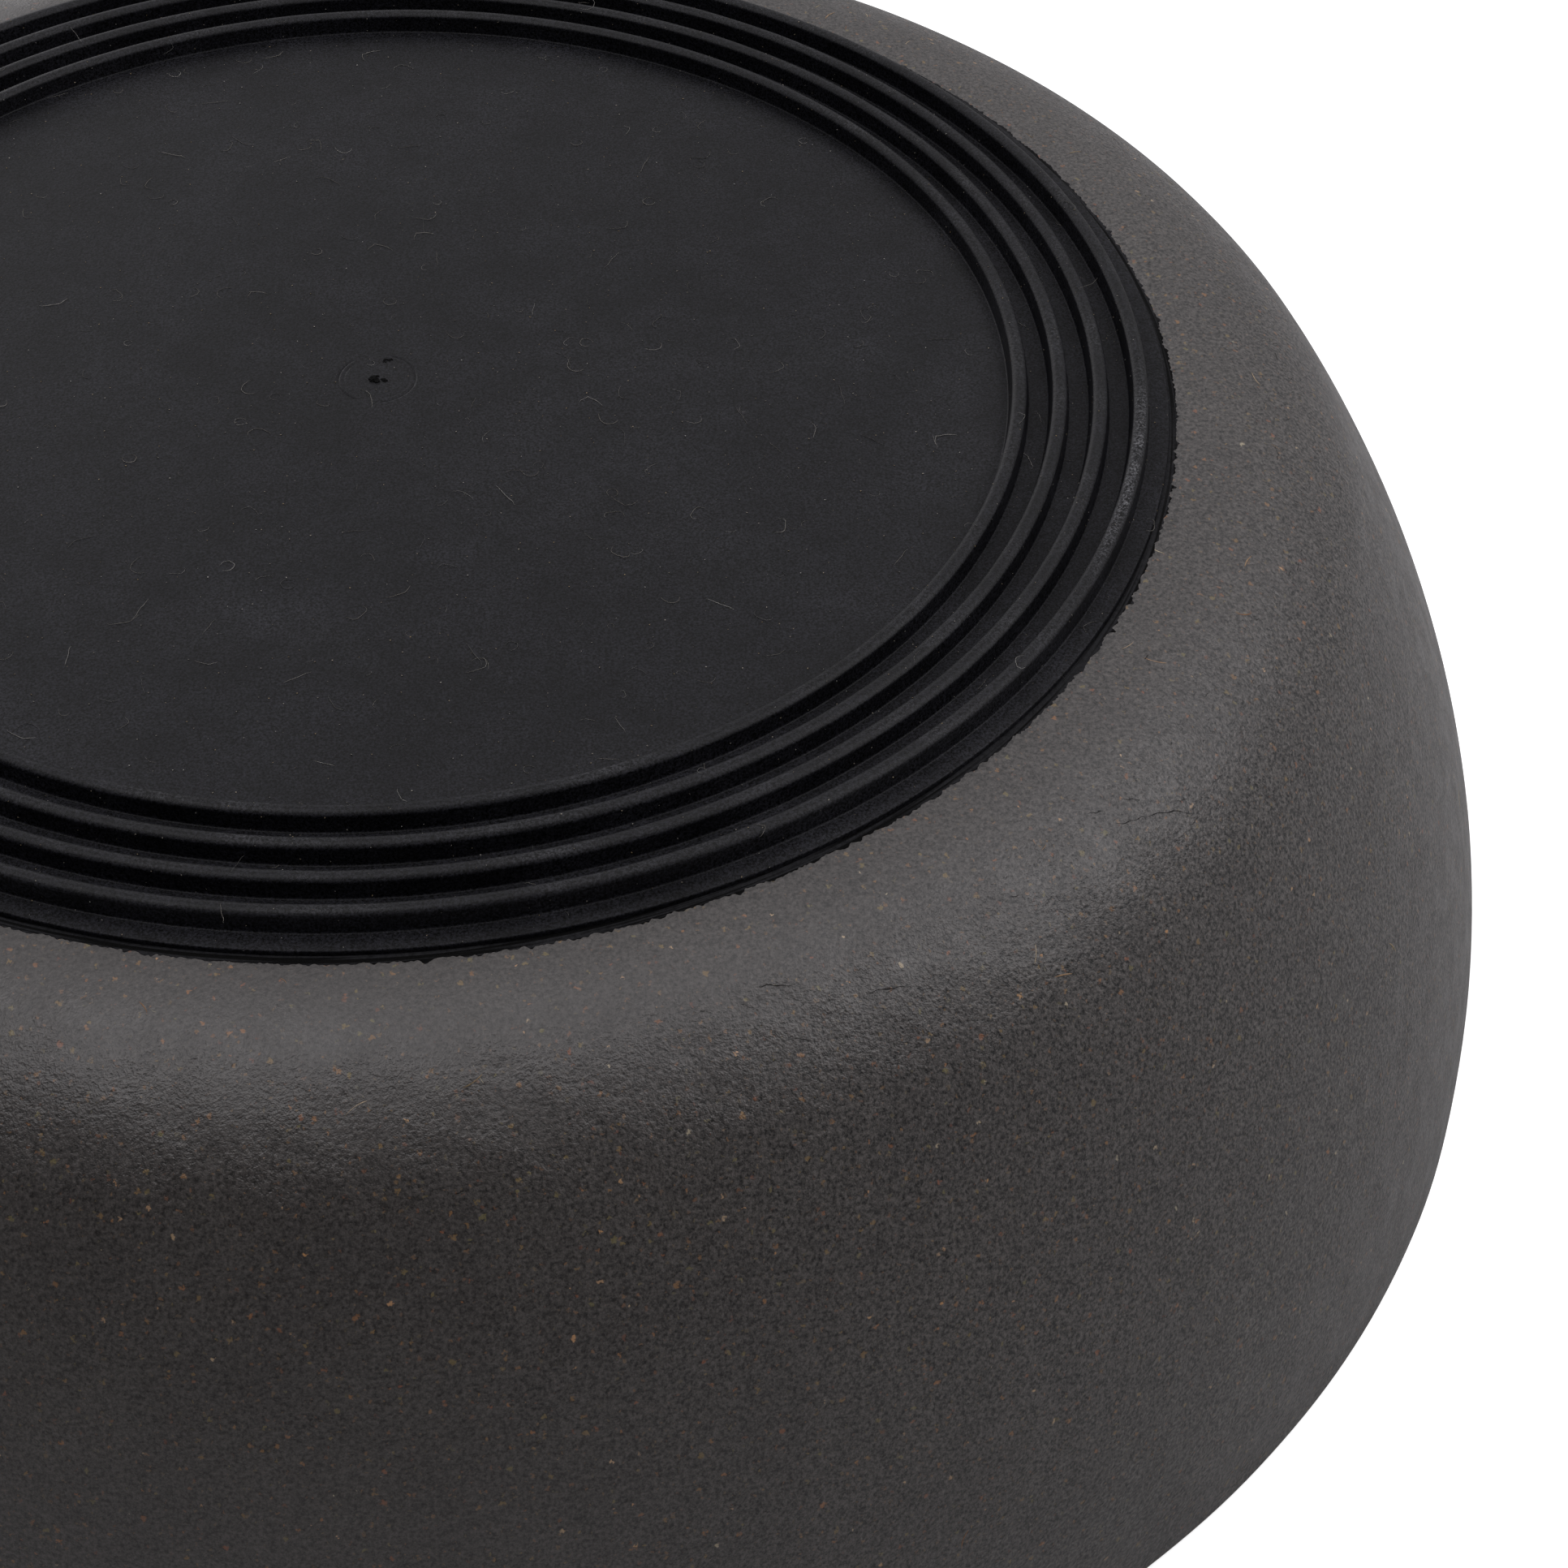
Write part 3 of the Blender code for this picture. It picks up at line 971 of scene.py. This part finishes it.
class BOWL_OT_crease_skin(bpy.types.Operator):
    """Draw the hairline creases that run round the shell's shoulder, as thin dark strips of painted shade
    laid on the skin
    """

    bl_idname = "bowl.crease_skin"
    bl_label = "Crease Skin"

    # The longest creases: heading and slope at one end, then the change to the other end, all in degrees
    LONGEST = (
        (-45.5, 57.4, 3.0, -7.6),
        (-46.0, 63.2, 1.0, -2.4),
        (-48.5, 66.5, 1.0, -2.4),
        (-47.5, 60.8, 2.0, -4.3),
        (-72.0, 68.0, 2.0, -2.4),
        (-66.5, 58.9, 2.5, -3.4),
        (-118.0, 62.0, 2.6, 1.5),
        (24.0, 60.0, 2.2, -3.0),
        (96.0, 58.0, 2.8, 2.0),
        (171.0, 64.0, 2.4, -2.6),
    )

    def execute(self, context):
        size = context.scene.bowl_wrinkles
        shell = context.scene.bowl_shell
        centre = shell_arcs(shell)[1]
        radius = shell.shoulder_radius + 0.03 * MM  # just clear of the skin's waves
        dice = random.Random(size.seed)
        creases = [(*crease, 1.0) for crease in self.LONGEST]
        for _ in range(size.number):
            span = 0.25 + dice.random() ** 2
            place = (dice.uniform(0, 360), dice.gauss(59, 6))
            creases.append((*place, span * dice.uniform(0.3, 1.0), span * dice.uniform(-2.6, 1.0), 0.6))
        shape = bmesh.new()
        for heading, slope, turned_by, bent_by, weight in creases:
            edges, steps = [], 12
            for step in range(steps + 1):
                share = step / steps
                wander = 0.5 * noise.noise(Vector((heading, slope, share * 4))) * (abs(bent_by) ** 0.5)
                here = radians(slope + bent_by * share + wander)
                turn = radians(heading + turned_by * share)
                thin = min(1.0, 4 * share + 0.1, 4 * (1 - share) + 0.1)
                swell = 0.32 + 0.35 * noise.noise(Vector((slope, heading, share * 9)))
                half = weight * size.width * thin * swell
                pair = []
                for side in (-1, 1):
                    at = here + side * half / shell.shoulder_radius
                    out = centre[0] + radius * cos(at)
                    up = centre[1] + radius * sin(at)
                    pair.append(shape.verts.new((out * cos(turn), out * sin(turn), up)))
                edges.append(pair)
            for (left, right), (next_left, next_right) in zip(edges, edges[1:]):
                shape.faces.new((left, next_left, next_right, right))
        mesh = shaped("skin_creases", shape, crease_shadow())
        return finished(linked("skin_creases", mesh), "fibre_composite")


class BOWL_OT_scatter_slivers(bpy.types.Operator):
    """Scatter pale slivers of fibre over the shell's outside"""

    bl_idname = "bowl.scatter_slivers"
    bl_label = "Scatter Slivers"

    def execute(self, context):
        size = context.scene.bowl_slivers
        dice = random.Random(size.seed)
        outside = turned("fibre_slivers_base", shell_arcs(context.scene.bowl_shell)[0], 90)
        bits = [flat_sliver(f"sliver_{index}", size, dice) for index in range(5)]
        finish = tinted_bits("bamboo_fibre_raw", ("#6b5a42", "#8f8168", "#7d5a40", "#a59a84"), 0.7, 0.3)
        return finished(scattered("fibre_slivers", outside, bits, size, finish), "fibre_composite")


class BOWL_OT_scatter_dust(bpy.types.Operator):
    """Scatter grains of pale dust over the rubber"""

    bl_idname = "bowl.scatter_dust"
    bl_label = "Scatter Dust"

    def execute(self, context):
        size = context.scene.bowl_dust
        dice = random.Random(size.seed)
        surface = turned("dust_grains_base", pad_outline(context.scene.bowl_pad)[:-2], 120)
        bits = [dust_grain(f"grain_{index}", size, dice) for index in range(5)]
        finish = tinted_bits("paper_dust_loose", ("#55524c", "#6e6b66", "#7a6a50", "#8e8d8b"), 0.9, 0.05)
        return finished(scattered("dust_grains", surface, bits, size, finish), "moulded_rubber")


class BOWL_OT_scatter_lint(bpy.types.Operator):
    """Scatter short curled hairs over the level parts of the rubber"""

    bl_idname = "bowl.scatter_lint"
    bl_label = "Scatter Lint"

    def execute(self, context):
        size = context.scene.bowl_lint
        dice = random.Random(size.seed)
        surface = turned("lint_hairs_base", pad_outline(context.scene.bowl_pad)[:-2], 120)
        bits = [curled_hair(f"hair_{index}", size, dice) for index in range(6)]
        finish = tinted_bits("cotton_lint_loose", ("#4a4a4a", "#6a665f", "#8a8884"), 0.8, 0.2)
        return finished(scattered("lint_hairs", surface, bits, size, finish, 0.95), "moulded_rubber")


class BOWL_OT_coat_adhesive(bpy.types.Operator):
    """Give the adhesive film under the pad its finish"""

    bl_idname = "bowl.coat_adhesive"
    bl_label = "Coat Adhesive"

    def execute(self, context):
        film = frame["nodes"]["pad_adhesive"]
        film.data.materials.clear()
        film.data.materials.append(contact_adhesive())
        return {"FINISHED"}


class BOWL_OT_set_stage(bpy.types.Operator):
    """Lay the floor, hang the soft lights and place the camera"""

    bl_idname = "bowl.set_stage"
    bl_label = "Set Stage"

    def execute(self, context):
        stage = context.scene.bowl_stage
        scene = context.scene
        scene.view_settings.view_transform = "Standard"

        bpy.ops.mesh.primitive_plane_add(size=FLOOR_SIDE)
        floor = context.active_object
        floor.name = "studio_floor"
        floor.data.materials.append(studio_floor(stage.floor_colour, stage.floor_glow))

        scene.world = studio_room(stage)
        for name, heading, height, brightness, side in SOFT_BOXES:
            soft_box(name, radians(heading), radians(height), brightness, side)

        camera = bpy.data.objects.new("camera", bpy.data.cameras.new("camera"))
        scene.collection.objects.link(camera)
        camera.data.sensor_width = 36
        camera.data.lens = stage.lens
        camera.data.clip_start = 0.01
        camera.matrix_world = camera_place(stage)
        scene.camera = camera
        return {"FINISHED"}


def studio_room(stage):
    """The room: dark at the front left, brighter to the right and behind, and brightest high up behind."""
    world = bpy.data.worlds.new("studio_room")
    world.use_nodes = True
    tree = world.node_tree
    way = add(tree, "ShaderNodeTexCoord").outputs["Generated"]
    parts = add(tree, "ShaderNodeSeparateXYZ", {"Vector": way})
    high = mapped(tree, parts.outputs["Z"], 0.26, 0.77)
    behind = mapped(tree, parts.outputs["Y"], -0.2, 0.4)
    added = times(tree, times(tree, high, behind), stage.ceiling)
    lit_side = {0: way, 1: (0.5, 0.8, 0)}
    toward = add(tree, "ShaderNodeVectorMath", lit_side, operation="DOT_PRODUCT").outputs["Value"]
    low = mapped(tree, toward, -0.7, 0.5, stage.front, stage.room)
    tone = add(tree, "ShaderNodeMath", {0: added, 1: low}, operation="ADD").outputs[0]
    # The camera itself sees a plain pale backdrop
    seen = add(tree, "ShaderNodeLightPath").outputs["Is Camera Ray"]
    strength = add(tree, "ShaderNodeMix", {0: seen, 2: tone, 3: BACKDROP}).outputs[0]
    feed(tree, tree.nodes["Background"], {"Color": (*LIGHT_TINT, 1), "Strength": strength})
    return world


def soft_box(name, heading, height, brightness, side):
    """A square area light 1 m from the bowl that points at it."""
    light = bpy.data.lights.new(name, "AREA")
    light.size = side
    light.energy = brightness * pi * side * side
    light.color = LIGHT_TINT
    lamp = bpy.data.objects.new(name, light)
    bpy.context.scene.collection.objects.link(lamp)
    way = Vector((cos(height) * cos(heading), cos(height) * sin(heading), sin(height)))
    lamp.matrix_world = Matrix.Translation(way) @ (-way).to_track_quat("-Z", "Y").to_matrix().to_4x4()


def camera_place(stage):
    """The camera's matrix: on a line above the pad's middle, then tilted, turned and rolled."""
    middle = Vector((0, 0, PAD_HIGH.z))
    back = Vector((0, -cos(stage.elevation), sin(stage.elevation)))
    sight, right = -back, Vector((1, 0, 0))
    above = right.cross(sight)
    swing = Matrix.Rotation(stage.turn, 3, "Z") @ Matrix.Rotation(stage.tilt, 3, right)
    sight, above, right = swing @ sight, swing @ above, swing @ right
    lean = Matrix.Rotation(-stage.roll, 3, sight)
    above, right = lean @ above, lean @ right
    turned_to = Matrix((right, above, -sight)).transposed().to_4x4()
    return Matrix.Translation(middle + back * stage.distance) @ turned_to


class BOWL_PT_sidebar(bpy.types.Panel):
    """Lists the operators in the order they are used"""

    bl_label = "Fibre Bowl"
    bl_idname = "BOWL_PT_sidebar"
    bl_space_type = "VIEW_3D"
    bl_region_type = "UI"
    bl_category = "Bowl"

    def draw(self, context):
        for operator in OPERATORS:
            self.layout.operator(operator.bl_idname)


SETTINGS = {
    "bowl_shell": ShellSettings,
    "bowl_pad": PadSettings,
    "bowl_flash": FlashSettings,
    "bowl_scar": ScarSettings,
    "bowl_wrinkles": WrinkleSettings,
    "bowl_slivers": SliverSettings,
    "bowl_dust": DustSettings,
    "bowl_lint": LintSettings,
    "bowl_stage": StageSettings,
}
OPERATORS = (
    BOWL_OT_turn_shell,
    BOWL_OT_turn_pad,
    BOWL_OT_trim_flash,
    BOWL_OT_tear_gate,
    BOWL_OT_crease_skin,
    BOWL_OT_scatter_slivers,
    BOWL_OT_scatter_dust,
    BOWL_OT_scatter_lint,
    BOWL_OT_coat_adhesive,
    BOWL_OT_set_stage,
)
CLASSES = (*SETTINGS.values(), *OPERATORS, BOWL_PT_sidebar)


def register():
    for kind in CLASSES:
        bpy.utils.register_class(kind)
    for name, kind in SETTINGS.items():
        setattr(bpy.types.Scene, name, PointerProperty(type=kind))


def unregister():
    for name in SETTINGS:
        delattr(bpy.types.Scene, name)
    for kind in reversed(CLASSES):
        bpy.utils.unregister_class(kind)


def main():
    register()
    bpy.ops.bowl.turn_shell()
    bpy.ops.bowl.turn_pad()
    bpy.ops.bowl.trim_flash()
    bpy.ops.bowl.tear_gate()
    bpy.ops.bowl.crease_skin()
    bpy.ops.bowl.scatter_slivers()
    bpy.ops.bowl.scatter_dust()
    bpy.ops.bowl.scatter_lint()
    bpy.ops.bowl.coat_adhesive()
    bpy.ops.bowl.set_stage()


if __name__ == "__main__":
    main()
